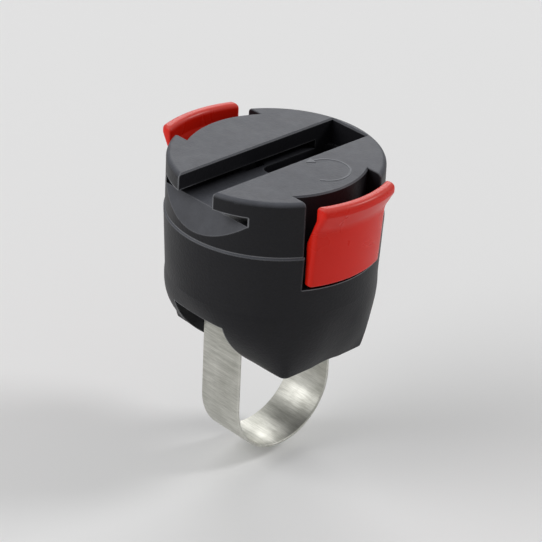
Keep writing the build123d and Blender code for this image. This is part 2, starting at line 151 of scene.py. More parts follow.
def rounded_box(half_u: float, half_v: float, edge: float,
                steps: int = ROUND_STEPS) -> list[Point2]:
    """The outline of a rectangle about the origin, with rounded corners.

    Args:
        half_u: Half of its size along u.
        half_v: Half of its size along v.
        edge: Radius of its corners.
        steps: Straight pieces in each corner.

    Returns:
        The outline's points, anticlockwise.
    """
    return rounded_outline([(-half_u, -half_v, edge), (half_u, -half_v, edge),
                            (half_u, half_v, edge), (-half_u, half_v, edge)], steps)


def inset_outline(outline: Sequence[Point2], distance: float) -> list[Point2]:
    """Move every point of a closed outline inwards.

    Args:
        outline: Points in order, anticlockwise.
        distance: How far each point moves, at a right angle to the outline.

    Returns:
        The moved points.
    """
    if distance <= 0:
        return list(outline)
    moved = []
    count = len(outline)
    for index, point in enumerate(outline):
        before, after = Vector(outline[index - 1]), Vector(outline[(index + 1) % count])
        along = (after - before).normalized()
        inward = Vector((-along.y, along.x))
        moved.append(tuple(Vector(point) + inward * distance))
    return moved


def skin(rows: int, around: int, closed_loop: bool = False) -> list[Face]:
    """Faces over rows of points that go round a piece.

    Args:
        rows: Rows of points along the piece.
        around: Points in each row.
        closed_loop: True when the last row joins the first; otherwise both ends are capped.

    Returns:
        The faces, as vertex numbers.
    """
    faces: list[Face] = []
    for row in range(rows if closed_loop else rows - 1):
        above = (row + 1) % rows
        for col in range(around):
            nxt = (col + 1) % around
            faces.append((row * around + col, row * around + nxt,
                          above * around + nxt, above * around + col))
    if not closed_loop:
        last = (rows - 1) * around
        faces.append(tuple(range(around)))
        faces.append(tuple(range(last, last + around)))
    return faces


def face_outwards(mesh: bpy.types.Mesh, doubled: float = 1e-7) -> None:
    """Merge doubled points and turn all faces of a closed mesh outwards.

    Args:
        mesh: The mesh to mend.
        doubled: Points nearer to each other than this are one point.
    """
    work = bmesh.new()
    work.from_mesh(mesh)
    bmesh.ops.remove_doubles(work, verts=work.verts, dist=doubled)
    bmesh.ops.recalc_face_normals(work, faces=work.faces)
    work.to_mesh(mesh)
    work.free()


def new_piece(name: str, points: Sequence[Vector], faces: Sequence[Face],
              crease: float = math.radians(32.0)) -> bpy.types.Object:
    """Make a mesh object, smooth apart from its sharp edges, with its faces turned outwards.

    Args:
        name: The piece's name.
        points: Its vertices.
        faces: Its faces, as vertex numbers.
        crease: Edges that turn by more than this angle stay sharp.

    Returns:
        The new object, linked to the scene.
    """
    mesh = bpy.data.meshes.new(name)
    mesh.from_pydata([tuple(point) for point in points], [], faces)
    mesh.validate()
    piece = bpy.data.objects.new(name, mesh)
    bpy.context.scene.collection.objects.link(piece)
    face_outwards(mesh)
    mesh.shade_smooth()
    mesh.set_sharp_from_angle(angle=crease)
    return piece


def join_pieces(name: str, pieces: Sequence[bpy.types.Object]) -> bpy.types.Object:
    """Join mesh objects into the first one and give it a new name.

    Args:
        name: Name of the joined piece.
        pieces: The objects to join.

    Returns:
        The first object, which now holds them all.
    """
    with bpy.context.temp_override(
        active_object=pieces[0], selected_editable_objects=list(pieces)
    ):
        bpy.ops.object.join()
    pieces[0].name = name
    pieces[0].data.name = name
    return pieces[0]


def lofted_bar(name: str, outline: Sequence[Point2], stations: Sequence[tuple[float, float]],
               place: Callable[[float, float, float], Vector]) -> bpy.types.Object:
    """Make a closed bar from one outline repeated at several stations.

    Args:
        name: The piece's name.
        outline: The section, as (u, v) points.
        stations: (w, inset) for each copy of the section; the inset rounds the bar's ends.
        place: Turns (u, v, w) into a point of the model.

    Returns:
        The new piece.
    """
    points = [place(u, v, w) for w, inset in stations for u, v in inset_outline(outline, inset)]
    return new_piece(name, points, skin(len(stations), len(outline)))


def rounded_stations(low: float, high: float, edge: float, inner: int,
                     steps: int = 5) -> list[tuple[float, float]]:
    """Stations from low to high whose first and last few round off the ends.

    Args:
        low: First station.
        high: Last station.
        edge: Radius of the rounded ends.
        inner: Stations between the rounded ends.
        steps: Stations in each rounded end.

    Returns:
        (place, inset) pairs for lofted_bar.
    """
    quarter = [math.pi / 2 * i / steps for i in range(steps + 1)]
    start = [(low + edge - edge * math.cos(a), edge * (1 - math.sin(a))) for a in quarter]
    end = [(low + high - w, inset) for w, inset in reversed(start)]
    gap = (high - low - 2 * edge) / (inner + 1)
    between = [(low + edge + gap * (i + 1), 0.0) for i in range(inner)]
    return start + between + end


@dataclass(frozen=True)
class Ring:
    """One ring of a turned piece: its height and its radius at each angle."""

    z: float
    radius: RadiusAt


def plain(radius: float) -> RadiusAt:
    """A radius that is the same all the way round."""
    return lambda angle: radius


def hexagon(flats: float) -> RadiusAt:
    """The radius of a hexagon with this distance across its flats."""
    sector = math.pi / 3
    return lambda angle: flats / 2 / math.cos((angle % sector) - sector / 2)


def triangle_wave(share: float) -> float:
    """0 at each whole number, 1 halfway between."""
    return 1 - abs(2 * (share % 1.0) - 1)


def thread_wave(z: float, angle: float, pitch: float) -> float:
    """0 at the root of a right-hand thread and 1 at its crest, at a height and an angle."""
    return triangle_wave(z / pitch - angle / TURN)


def knurl(radius: float, depth: float, ridges: int) -> RadiusAt:
    """A radius with fine upright ridges that rise to it."""
    return lambda angle: radius - depth * (1 - triangle_wave(angle / TURN * ridges))


def turned_piece(name: str, rings: Sequence[Ring], centre: Vector, steps: int,
                 closed_loop: bool = False) -> bpy.types.Object:
    """Make a piece as a lathe would, ring by ring.

    Args:
        name: The piece's name.
        rings: The rings in order along the surface.
        centre: A point on the upright axis.
        steps: Points round each ring.
        closed_loop: True when the last ring joins the first, as round a bore.

    Returns:
        The new piece.
    """
    points: list[Vector] = []
    for ring in rings:
        for step in range(steps):
            angle = TURN * step / steps
            radius = ring.radius(angle)
            points.append(Vector((centre.x + radius * math.cos(angle),
                                  centre.y + radius * math.sin(angle), ring.z)))
    return new_piece(name, points, skin(len(rings), steps, closed_loop))


# ---- shader effects, shared as node groups ----


class Graph:
    """A node tree with short calls for adding nodes, setting inputs and linking."""

    RAYS = 8  # cast for each reading of openness

    def __init__(self, tree: bpy.types.NodeTree) -> None:
        """Wrap a node tree and empty it."""
        self.tree = tree
        tree.nodes.clear()

    def add(self, kind: str, **inputs: object) -> bpy.types.Node:
        """Add a node.

        Args:
            kind: The node's type.
            **inputs: Values or sockets by input name, with underscores for spaces. Names in
                lower case are the node's own settings.

        Returns:
            The new node.
        """
        node = self.tree.nodes.new(kind)
        for name, value in inputs.items():
            if name[0].islower():
                setattr(node, name, value)
        for name, value in inputs.items():
            if not name[0].islower():
                self.feed(node.inputs[name.replace("_", " ")], value)
        return node

    def feed(self, socket: bpy.types.NodeSocket, value: object) -> None:
        """Link a socket into an input, or write a plain value there.

        Args:
            socket: The input.
            value: The socket or value that it gets.
        """
        if isinstance(value, bpy.types.NodeSocket):
            self.tree.links.new(value, socket)
        else:
            socket.default_value = value

    def math(self, operation: str, first: object, second: object = 0.0,
             clamp: bool = False) -> bpy.types.NodeSocket:
        """Add a math node.

        Args:
            operation: What it does, by Blender's name.
            first: First value or socket.
            second: Second value or socket.
            clamp: True to keep the result from 0 to 1.

        Returns:
            The result.
        """
        node = self.add("ShaderNodeMath", operation=operation, use_clamp=clamp)
        self.feed(node.inputs[0], first)
        self.feed(node.inputs[1], second)
        return node.outputs[0]

    def mix(self, factor: object, first: object, second: object) -> bpy.types.NodeSocket:
        """Mix two colours.

        Args:
            factor: Share of the second colour.
            first: First colour.
            second: Second colour.

        Returns:
            The mixed colour.
        """
        node = self.add("ShaderNodeMix", data_type="RGBA", Factor=factor)
        self.feed(node.inputs[6], first)
        self.feed(node.inputs[7], second)
        return node.outputs[2]

    def spread(self, value: object, low: float, high: float, to_low: float = 0.0,
               to_high: float = 1.0) -> bpy.types.NodeSocket:
        """Map one range of values to another, clamped at its ends.

        Args:
            value: The value to map.
            low: Value that becomes to_low.
            high: Value that becomes to_high.
            to_low: Result at low.
            to_high: Result at high.

        Returns:
            The mapped value.
        """
        node = self.add("ShaderNodeMapRange", Value=value, From_Min=low, From_Max=high,
                        To_Min=to_low, To_Max=to_high)
        return node.outputs[0]

    def place(self) -> bpy.types.NodeSocket:
        """The object's own coordinates, in metres."""
        return self.add("ShaderNodeTexCoord").outputs["Object"]

    def noise(self, scale: object, detail: float, place: bpy.types.NodeSocket | None = None,
              **settings: float) -> bpy.types.NodeSocket:
        """Add a noise texture.

        Args:
            scale: Features per metre.
            detail: Layers of finer noise on it.
            place: Where it is read; the object's own coordinates when left out.
            **settings: More of the node's inputs by name.

        Returns:
            The noise, from 0 to 1.
        """
        where = self.place() if place is None else place
        node = self.add("ShaderNodeTexNoise", Vector=where, Scale=scale, Detail=detail,
                        **settings)
        return node.outputs["Fac"]

    def openness(self, reach: object, inside: bool = False) -> bpy.types.NodeSocket:
        """How free of nearby surfaces a point is, from 0 to 1.

        Args:
            reach: How far it looks, in metres.
            inside: True to look into the solid, which finds its outer edges.

        Returns:
            1 where nothing is near.
        """
        node = self.add("ShaderNodeAmbientOcclusion", inside=inside, samples=self.RAYS,
                        Distance=reach)
        return node.outputs["AO"]


def group_frame(name: str, inputs: dict[str, tuple[str, float]],
                outputs: Sequence[str]) -> tuple[Graph, bpy.types.Node, bpy.types.Node]:
    """Start a shader node group.

    Args:
        name: The group's name.
        inputs: Socket type and default for each input name.
        outputs: Names of the float outputs.

    Returns:
        The graph, its input node and its output node.
    """
    tree = bpy.data.node_groups.new(name, "ShaderNodeTree")
    for label, (kind, default) in inputs.items():
        socket = tree.interface.new_socket(label, in_out="INPUT", socket_type=kind)
        socket.default_value = default
    for label in outputs:
        tree.interface.new_socket(label, in_out="OUTPUT", socket_type="NodeSocketFloat")
    graph = Graph(tree)
    return graph, graph.add("NodeGroupInput"), graph.add("NodeGroupOutput")


class Effects:
    """The surface effects that several finishes share, each a node group made once.

    The spans are ranges of a raw value; a second pair is what its ends become.
    """

    FLOAT = "NodeSocketFloat"
    VECTOR = "NodeSocketVector"
    SWELLS_PER_PIT = 0.3
    SWELL_HEIGHT = 0.8  # the pits' is 1
    SHADE_SPAN = (0.4, 1.2)  # relief, from a hollow to a rise
    EDGE_SPAN = (0.97, 0.76)  # openness inwards, from a flat face to an outer edge
    SCUFF_SPAN = (0.25, 0.6, 0.65, 1.0)  # noise that breaks up the rubbing
    TOUCH_SPAN = (0.4, 0.8)  # openness, from out of a finger's reach to within it
    LEVEL_SPAN = (0.12, 0.85)  # the normal's Z, from a wall to a level face
    PATCH_SPAN = (0.3, 0.75, 0.72, 1.0)  # noise that thins the film of dust and painted sheen in patches
    SKY_SPAN = (0.3, 0.85)  # openness, from sheltered to open
    COARSE_PER_FINE = 0.22  # broad streaks for each fine line
    FINE_SHARE = 0.6  # of a streak; the broad noise is the rest
    STREAK_SPAN = (0.35, 0.65)
    MARK_SPAN = (0.35, 0.65)

    def __init__(self) -> None:
        """Build every group."""
        self.grain = self.build_grain()
        self.edges = self.build_edges()
        self.dust = self.build_dust()
        self.lines = self.build_lines()
        self.handling = self.build_handling()

    def build_grain(self) -> bpy.types.NodeTree:
        """The fine texture of a spark-eroded mould: small rounded pits over softer swells.

        Returns:
            The group, which gives the relief's height and a shade that follows it.
        """
        graph, source, result = group_frame(
            "moulded_grain",
            {"Pits per metre": (self.FLOAT, 3000.0), "Softness": (self.FLOAT, 0.4)},
            ["Height", "Shade"],
        )
        count = source.outputs["Pits per metre"]
        pits = graph.add("ShaderNodeTexVoronoi", feature="SMOOTH_F1", Vector=graph.place(),
                         Scale=count, Smoothness=source.outputs["Softness"])
        swells = graph.noise(graph.math("MULTIPLY", count, self.SWELLS_PER_PIT), detail=3.0)
        height = graph.math("ADD", pits.outputs["Distance"],
                            graph.math("MULTIPLY", swells, self.SWELL_HEIGHT))
        graph.feed(result.inputs["Height"], height)
        graph.feed(result.inputs["Shade"], graph.spread(height, *self.SHADE_SPAN))
        return graph.tree

    def build_edges(self) -> bpy.types.NodeTree:
        """A mask along outer edges, where handling rubs a surface smooth and where a painted
        highlight is laid.

        Returns:
            The group, which gives the mask.
        """
        graph, source, result = group_frame(
            "rubbed_edges",
            {"Reach": (self.FLOAT, 0.26 * MM), "Scuffs per metre": (self.FLOAT, 500.0),
             "Shelter": (self.FLOAT, 14.0 * MM)},
            ["Mask"],
        )
        rim = graph.spread(graph.openness(source.outputs["Reach"], inside=True),
                           *self.EDGE_SPAN)
        scuffs = graph.noise(source.outputs["Scuffs per metre"], detail=4.0)
        broken = graph.spread(scuffs, *self.SCUFF_SPAN)
        touched = graph.spread(graph.openness(source.outputs["Shelter"]), *self.TOUCH_SPAN)
        graph.feed(result.inputs["Mask"],
                   graph.math("MULTIPLY", rim, graph.math("MULTIPLY", broken, touched)))
        return graph.tree

    def build_dust(self) -> bpy.types.NodeTree:
        """A thin, slightly patchy film on open faces that look up: dust, and on the shell a
        painted sheen of the sky.

        Returns:
            The group, which gives the film as a mask.
        """
        graph, source, result = group_frame(
            "settled_dust",
            {"Amount": (self.FLOAT, 0.5), "Patches per metre": (self.FLOAT, 420.0),
             "Shelter": (self.FLOAT, 5.0 * MM)},
            ["Mask"],
        )
        facing = graph.add("ShaderNodeSeparateXYZ",
                           Vector=graph.add("ShaderNodeNewGeometry").outputs["Normal"])
        level = graph.spread(facing.outputs["Z"], *self.LEVEL_SPAN)
        patches = graph.noise(source.outputs["Patches per metre"], detail=6.0, Roughness=0.62)
        patchy = graph.spread(patches, *self.PATCH_SPAN)
        open_sky = graph.spread(graph.openness(source.outputs["Shelter"]), *self.SKY_SPAN)
        film = graph.math("MULTIPLY", graph.math("MULTIPLY", level, patchy), open_sky)
        graph.feed(result.inputs["Mask"],
                   graph.math("MULTIPLY", film, source.outputs["Amount"], clamp=True))
        return graph.tree

    def build_lines(self) -> bpy.types.NodeTree:
        """Fine drawn or brushed lines: noise that is stretched along the grain.

        Returns:
            The group, which gives the lines' height and the streaks that they form.
        """
        graph, source, result = group_frame(
            "metal_lines",
            {"Lines per metre": (self.FLOAT, 2500.0), "Stretch": (self.VECTOR, (1, 1, 1))},
            ["Height", "Streak"],
        )
        squeezed = graph.add("ShaderNodeVectorMath", operation="DIVIDE")
        graph.feed(squeezed.inputs[0], graph.place())
        graph.feed(squeezed.inputs[1], source.outputs["Stretch"])
        place = squeezed.outputs[0]
        count = source.outputs["Lines per metre"]
        fine = graph.noise(count, 5.0, place, Roughness=0.7)
        broad = graph.math("MULTIPLY", count, self.COARSE_PER_FINE)
        coarse = graph.noise(broad, 2.0, place)
        streak = graph.math("ADD", graph.math("MULTIPLY", fine, self.FINE_SHARE),
                            graph.math("MULTIPLY", coarse, 1 - self.FINE_SHARE))
        graph.feed(result.inputs["Height"], fine)
        graph.feed(result.inputs["Streak"], graph.spread(streak, *self.STREAK_SPAN))
        return graph.tree

    def build_handling(self) -> bpy.types.NodeTree:
        """Broad smudges that change how a surface shines.

        Returns:
            The group, which gives the smudges as a mask.
        """
        graph, source, result = group_frame(
            "handling_marks",
            {"Marks per metre": (self.FLOAT, 120.0)},
            ["Mask"],
        )
        marks = graph.noise(source.outputs["Marks per metre"], detail=5.0, Distortion=0.6)
        graph.feed(result.inputs["Mask"], graph.spread(marks, *self.MARK_SPAN))
        return graph.tree


def use_group(graph: Graph, tree: bpy.types.NodeTree, **inputs: object) -> bpy.types.Node:
    """Place a shared effect in a material with its own values.

    Args:
        graph: The material's nodes.
        tree: The effect's group.
        **inputs: The group's inputs by name, with underscores for spaces.

    Returns:
        The group's node.
    """
    node = graph.tree.nodes.new("ShaderNodeGroup")
    node.node_tree = tree
    for name, value in inputs.items():
        graph.feed(node.inputs[name.replace("_", " ")], value)
    return node


def new_material(name: str) -> tuple[bpy.types.Material, Graph]:
    """Make a material whose node tree is still empty.

    Args:
        name: The material's name.

    Returns:
        The material and its graph.
    """
    material = bpy.data.materials.new(name)
    material.use_nodes = True
    return material, Graph(material.node_tree)


def surface(graph: Graph, colour: bpy.types.NodeSocket, roughness: bpy.types.NodeSocket,
            relief: bpy.types.NodeSocket, depth: float, strength: float) -> bpy.types.Node:
    """End a material with its relief, its shader and its output.

    Args:
        graph: The material's nodes.
        colour: Base colour over the surface.
        roughness: Roughness over the surface.
        relief: Height of the fine relief over the surface.
        depth: How deep the relief is.
        strength: How far the relief turns the light.

    Returns:
        The shader, for the values that are the same all over.
    """
    bump = graph.add("ShaderNodeBump", Strength=strength, Distance=depth, Height=relief)
    shader = graph.add("ShaderNodeBsdfPrincipled", Base_Color=colour, Roughness=roughness,
                       Normal=bump.outputs["Normal"])
    graph.add("ShaderNodeOutputMaterial", Surface=shader.outputs["BSDF"])
    return shader


# ---- finishes ----


@dataclass(frozen=True)
class PlasticFinish:
    """A moulded plastic or rubber surface.

    Attributes:
        name: The material's name.
        slot: The record's material slot.
        colour: Base colour.
        worn: Colour of rubbed edges; on the shell it is mostly a painted highlight.
        dusty: Colour of the film on faces that look up: dust, and on the shell a painted sky
            sheen.
        roughness: Roughness of clean and of handled areas.
        pits: Mould texture, in pits per metre.
        depth: Depth of the mould texture.
        dust: How much of that film lies on faces that look up, as dust and as a painted sheen.
        wear: How far rubbed edges take that colour, as wear and as a painted highlight.
        specular: The surface's specular level.
        mottle: How much darker the hollows of the mould texture are.
        relief: How far the mould texture turns the light.
    """

    name: str
    slot: str
    colour: Colour
    worn: Colour
    dusty: Colour = (0.30, 0.30, 0.31)
    roughness: tuple[float, float] = (0.5, 0.6)
    pits: float = 3200.0
    depth: float = 0.02 * MM
    dust: float = 0.2
    wear: float = 0.5
    specular: float = 0.5
    mottle: float = 0.14
    relief: float = 0.6

    def build(self, effects: Effects) -> bpy.types.Material:
        """Make the material.

        Args:
            effects: The shared node groups.

        Returns:
            The new material.
        """
        material, graph = new_material(self.name)
        grain = use_group(graph, effects.grain, Pits_per_metre=self.pits)
        edges = use_group(graph, effects.edges)
        dust = use_group(graph, effects.dust, Amount=self.dust)
        marks = use_group(graph, effects.handling)
        dark = tuple((1 - self.mottle) * part for part in self.colour)
        ground = graph.mix(grain.outputs["Shade"], (*dark, 1), (*self.colour, 1))
        # Edges take a lighter colour: rubbed wear, and on the shell a painted highlight along
        # seam and lips.
        rubbed = graph.mix(graph.math("MULTIPLY", edges.outputs["Mask"], self.wear),
                           ground, (*self.worn, 1))
        # Faces that look up take a pale film: dust, and on the shell's top a painted sheen of
        # the sky.
        colour = graph.mix(dust.outputs["Mask"], rubbed, (*self.dusty, 1))
        shine = graph.spread(marks.outputs["Mask"], 0.0, 1.0, *self.roughness)
        shader = surface(graph, colour, shine, grain.outputs["Height"], self.depth, self.relief)
        shader.inputs["Specular IOR Level"].default_value = self.specular
        return material


@dataclass(frozen=True)
class MetalFinish:
    """A drawn, brushed, plated or cast metal surface.

    Attributes:
        name: The material's name.
        slot: The record's material slot.
        colour: Colour of the bright metal.
        dull: Colour of the streaks and the less bright patches.
        grain: Which way the fine lines run.
        lines: Fine lines per metre, across the grain.
        depth: Depth of the lines.
        roughness: Roughness of bright and of dull streaks.
        polish: How far rubbed edges take the rubbed colour.
        anisotropy: How far reflections stretch across the lines.
        rubbed: Brightness of the colour on rubbed edges against the bright metal's.
        streaks: Share of the streaks in what dulls the metal; smudges are the rest.
        relief: How far the lines turn the light.
    """

    name: str
    slot: str
    colour: Colour
    dull: Colour
    grain: Grain = Grain.EVEN
    lines: float = 2500.0
    depth: float = 0.006 * MM
    roughness: tuple[float, float] = (0.25, 0.42)
    polish: float = 0.5
    anisotropy: float = 0.0
    rubbed: float = 1.15
    streaks: float = 0.65
    relief: float = 0.5

    def build(self, effects: Effects) -> bpy.types.Material:
        """Make the material.

        Args:
            effects: The shared node groups.

        Returns:
            The new material.
        """
        material, graph = new_material(self.name)
        lines = use_group(graph, effects.lines, Lines_per_metre=self.lines,
                          Stretch=self.grain.value)
        edges = use_group(graph, effects.edges)
        marks = use_group(graph, effects.handling)
        dullness = graph.math(
            "ADD", graph.math("MULTIPLY", lines.outputs["Streak"], self.streaks),
            graph.math("MULTIPLY", marks.outputs["Mask"], 1 - self.streaks))
        ground = graph.mix(dullness, (*self.colour, 1), (*self.dull, 1))
        bright = tuple(min(1.0, self.rubbed * part) for part in self.colour)
        colour = graph.mix(graph.math("MULTIPLY", edges.outputs["Mask"], self.polish),
                           ground, (*bright, 1))
        shine = graph.spread(dullness, 0.0, 1.0, *self.roughness)
        shader = surface(graph, colour, shine, lines.outputs["Height"], self.depth, self.relief)
        shader.inputs["Metallic"].default_value = 1.0
        shader.inputs["Anisotropic"].default_value = self.anisotropy
        return material


FINISHES: tuple[PlasticFinish | MetalFinish, ...] = (
    # The shell's light edge colour paints highlights along its edges, and its heavy film paints
    # the sky's sheen on its top, over real wear and dust.
    PlasticFinish("shell_black", "black_plastic", (0.011, 0.011, 0.0135), (0.23, 0.235, 0.25),
                  dusty=(0.175, 0.183, 0.21), roughness=(0.46, 0.50), pits=2200.0,
                  depth=0.045 * MM, dust=0.6, wear=0.8, specular=0.22),
    PlasticFinish("inner_black", "inner_plastic", (0.010, 0.010, 0.011), (0.05, 0.05, 0.05),
                  roughness=(0.5, 0.6), dust=0.05, wear=0.3, specular=0.4),
    PlasticFinish("slide_grey", "slide_plastic", (0.035, 0.035, 0.038), (0.13, 0.13, 0.13),
                  roughness=(0.3, 0.4), pits=5000.0, depth=0.006 * MM, dust=0.04, wear=0.4),
    PlasticFinish("button_red", "red_plastic", (0.72, 0.014, 0.005), (0.80, 0.07, 0.05),
                  dusty=(0.80, 0.22, 0.19), roughness=(0.26, 0.31), pits=4200.0,
                  depth=0.002 * MM, dust=0.4, wear=0.12, specular=0.2, mottle=0.02),
    PlasticFinish("pad_rubber", "rubber", (0.009, 0.009, 0.009), (0.04, 0.04, 0.04),
                  roughness=(0.72, 0.85), pits=4200.0, depth=0.02 * MM, dust=0.10, wear=0.3,
                  specular=0.3),
    MetalFinish("spring_wire", "spring_steel", (0.52, 0.52, 0.53), (0.30, 0.30, 0.31),
                lines=6000.0, roughness=(0.22, 0.36)),
    MetalFinish("zinc_plate", "zinc_steel", (0.66, 0.67, 0.66), (0.44, 0.46, 0.47),
                lines=900.0, roughness=(0.32, 0.50)),
    MetalFinish("bright_stainless", "stainless", (0.62, 0.61, 0.59), (0.42, 0.42, 0.41),
                lines=4200.0, roughness=(0.16, 0.30)),
    MetalFinish("black_oxide", "screw_steel", (0.055, 0.056, 0.060), (0.030, 0.030, 0.032),
                lines=3200.0, roughness=(0.34, 0.46), polish=0.8),
    MetalFinish("cast_grey", "cast_zinc", (0.50, 0.50, 0.52), (0.33, 0.33, 0.35),
                lines=1500.0, depth=0.02 * MM, roughness=(0.42, 0.58)),
    MetalFinish("turned_brass", "brass", (0.78, 0.58, 0.26), (0.52, 0.36, 0.13),
                lines=5200.0, roughness=(0.18, 0.34)),
    MetalFinish("brushed_band", "stainless_strap", (0.78, 0.775, 0.72), (0.40, 0.40, 0.355),
                grain=Grain.ALONG_X, lines=5200.0, depth=0.012 * MM, roughness=(0.36, 0.54),
                anisotropy=0.3),
)


class Wardrobe:
    """The finishes as materials, found by the record's slot names."""

    def __init__(self) -> None:
        """Build every material once."""
        effects = Effects()
        self.by_slot = {finish.slot: finish.build(effects) for finish in FINISHES}
        self.slot_of = {part["node"]: part["material_slot"]
                        for part in frame["record"]["subparts"]}

    def dress(self, piece: bpy.types.Object, slot: str) -> None:
        """Give a piece the finish of a slot."""
        piece.data.materials.clear()
        piece.data.materials.append(self.by_slot[slot])

    def dress_node(self, node: str) -> None:
        """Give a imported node, which keeps its shape, the finish of its slot."""
        self.dress(frame["nodes"][node], self.slot_of[node])

    def stand_in(self, piece: bpy.types.Object, node: str, body: str) -> None:
        """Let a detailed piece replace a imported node.

        Args:
            piece: The new piece, already in place.
            node: The node that it stands for.
            body: The body that it moves with.
        """
        slot = self.slot_of[node]
        self.dress(piece, slot)
        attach(piece, body)
        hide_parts(node)
        LOG.info("%s: %d faces, on %s", piece.name, len(piece.data.polygons), body)


def middle(node: str) -> Vector:
    """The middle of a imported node's box."""
    low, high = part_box(node)
    return (low + high) / 2


# ---- sub-assemblies ----


@dataclass
class Shells:
    """The moulded head, the housing and the plates and latches inside them."""

    nodes: tuple[str, ...] = ("head", "housing", "slide_plate", "bearing_plate",
                              "latch_right", "latch_left", "retaining_clip",
                              "tension_yoke", "strap_pin_front", "strap_pin_rear")

    def build(self, wardrobe: Wardrobe) -> None:
        """Dress the nodes that keep their shape.

        Args:
            wardrobe: The finishes.
        """
        for node in self.nodes:
            wardrobe.dress_node(node)
            LOG.info("%s: finish %s", node, wardrobe.slot_of[node])


@dataclass
class ReleaseButton:
    """A red pad that flares outwards into a rounded lip, with a stem for the latch slide."""

    side: Side
    half_width: float = 8.5 * MM
    inner_radius: float = 19.0 * MM
    bottom_radius: float = 20.55 * MM
    neck_radius: float = 21.3 * MM
    lip_radius: float = 23.2 * MM
    lip_inner_radius: float = 20.9 * MM
    neck_rise: float = 11.4 * MM  # this and the next three from the pad's bottom
    lip_low_rise: float = 14.9 * MM
    lip_back_rise: float = 13.7 * MM
    flare_rise: float = 8.4 * MM
    end_edge: float = 0.6 * MM
    corner: float = 0.6 * MM
    neck_round: float = 4.2 * MM
    lip_round: float = 0.9 * MM
    flare_round: float = 1.2 * MM
    stem_width: float = 4.4 * MM
    stem_height: float = 2.2 * MM
    stem_edge: float = 0.2 * MM
    stem_inner: float = 15.4 * MM
    stem_root: float = 0.6 * MM  # how far it runs into the pad
    columns: int = 26

    def outline(self, bottom: float, top: float) -> list[Point2]:
        """The pad's section as (radius, height), anticlockwise.

        Args:
            bottom: Height of its lower edge.
            top: Height of the lip's top.

        Returns:
            The section's points.
        """
        return rounded_outline([
            (self.inner_radius, bottom, self.corner),
            (self.bottom_radius, bottom, self.corner),
            (self.neck_radius, bottom + self.neck_rise, self.neck_round),
            (self.lip_radius, bottom + self.lip_low_rise, self.corner),
            (self.lip_radius, top, self.lip_round),
            (self.lip_inner_radius, top, self.lip_round),
            (self.lip_inner_radius, bottom + self.lip_back_rise, self.flare_round),
            (self.inner_radius, bottom + self.flare_rise, self.flare_round),
        ])

    def place(self, radius: float, height: float, across: float) -> Vector:
        """A point of the pad, bent round the body and moved to its side."""
        return Vector((self.side.value * math.sqrt(radius * radius - across * across),
                       across, height))

    def build(self, wardrobe: Wardrobe) -> None:
        """Make the pad with its stem and let it replace the plain one.

        Args:
            wardrobe: The finishes.
        """
        node = f"button_{self.side.word}"
        low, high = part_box(node)
        pad = lofted_bar(node + "_pad", self.outline(low.z, high.z),
                         rounded_stations(-self.half_width, self.half_width,
                                          self.end_edge, self.columns),
                         self.place)
        stem_z = middle(f"return_spring_{self.side.word}").z
        stem = lofted_bar(
            "stem", rounded_box(self.stem_width / 2, self.stem_height / 2, self.stem_edge),
            rounded_stations(self.stem_inner, self.inner_radius + self.stem_root,
                             self.stem_edge, 1),
            lambda u, v, w: Vector((self.side.value * w, u, stem_z + v)),
        )
        piece = join_pieces(f"{self.side.word}_release_button", [pad, stem])
        wardrobe.stand_in(piece, node, f"{self.side.word}_release")


@dataclass
class ReturnSpring:
    """A compression spring with closed ends, which shortens as its button goes in."""

    side: Side
    wire: float = 0.45 * MM
    turns: float = 5.0
    closed_turns: float = 0.8  # at each end
    closed_pitch: float = 0.2475 * MM
    travel: float = 2.0 * MM
    steps_per_turn: int = 36
    wire_sides: int = 12

    def advance(self, turn: float, length: float) -> float:
        """How far along its axis the wire's middle is after some turns.

        Args:
            turn: Turns from the first end.
            length: Distance between the wire's two ends.

        Returns:
            The distance from the first end.
        """
        open_turns = self.turns - 2 * self.closed_turns
        open_pitch = (length - 2 * self.closed_turns * self.closed_pitch) / open_turns
        first = min(turn, self.closed_turns)
        between = min(max(turn - self.closed_turns, 0.0), open_turns)
        last = max(turn - self.closed_turns - open_turns, 0.0)
        return (first + last) * self.closed_pitch + between * open_pitch

    def build(self, wardrobe: Wardrobe) -> None:
        """Wind the spring in its packed place and attach it to the body.

        Args:
            wardrobe: The finishes.
        """
        node = f"return_spring_{self.side.word}"
        low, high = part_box(node)
        centre = middle(node)
        sign = self.side.value
        inner = low.x if sign > 0 else high.x
        coil = (high.z - low.z - self.wire) / 2
        length = high.x - low.x - self.wire
        count = round(self.turns * self.steps_per_turn)
        points: list[Vector] = []
        for step in range(count + 1):
            turn = self.turns * step / count
            angle = TURN * turn
            along = inner + sign * (self.wire / 2 + self.advance(turn, length))
            outward = Vector((0.0, math.cos(angle), math.sin(angle)))
            hub = Vector((along, centre.y, centre.z)) + outward * coil
            for corner in range(self.wire_sides):
                around = TURN * corner / self.wire_sides
                points.append(hub + outward * (self.wire / 2 * math.cos(around))
                              + Vector((self.wire / 2 * math.sin(around), 0, 0)))
        piece = new_piece(f"{self.side.word}_return_coil", points,
                          skin(count + 1, self.wire_sides))
        wardrobe.stand_in(piece, node, "body")
        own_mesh(piece)


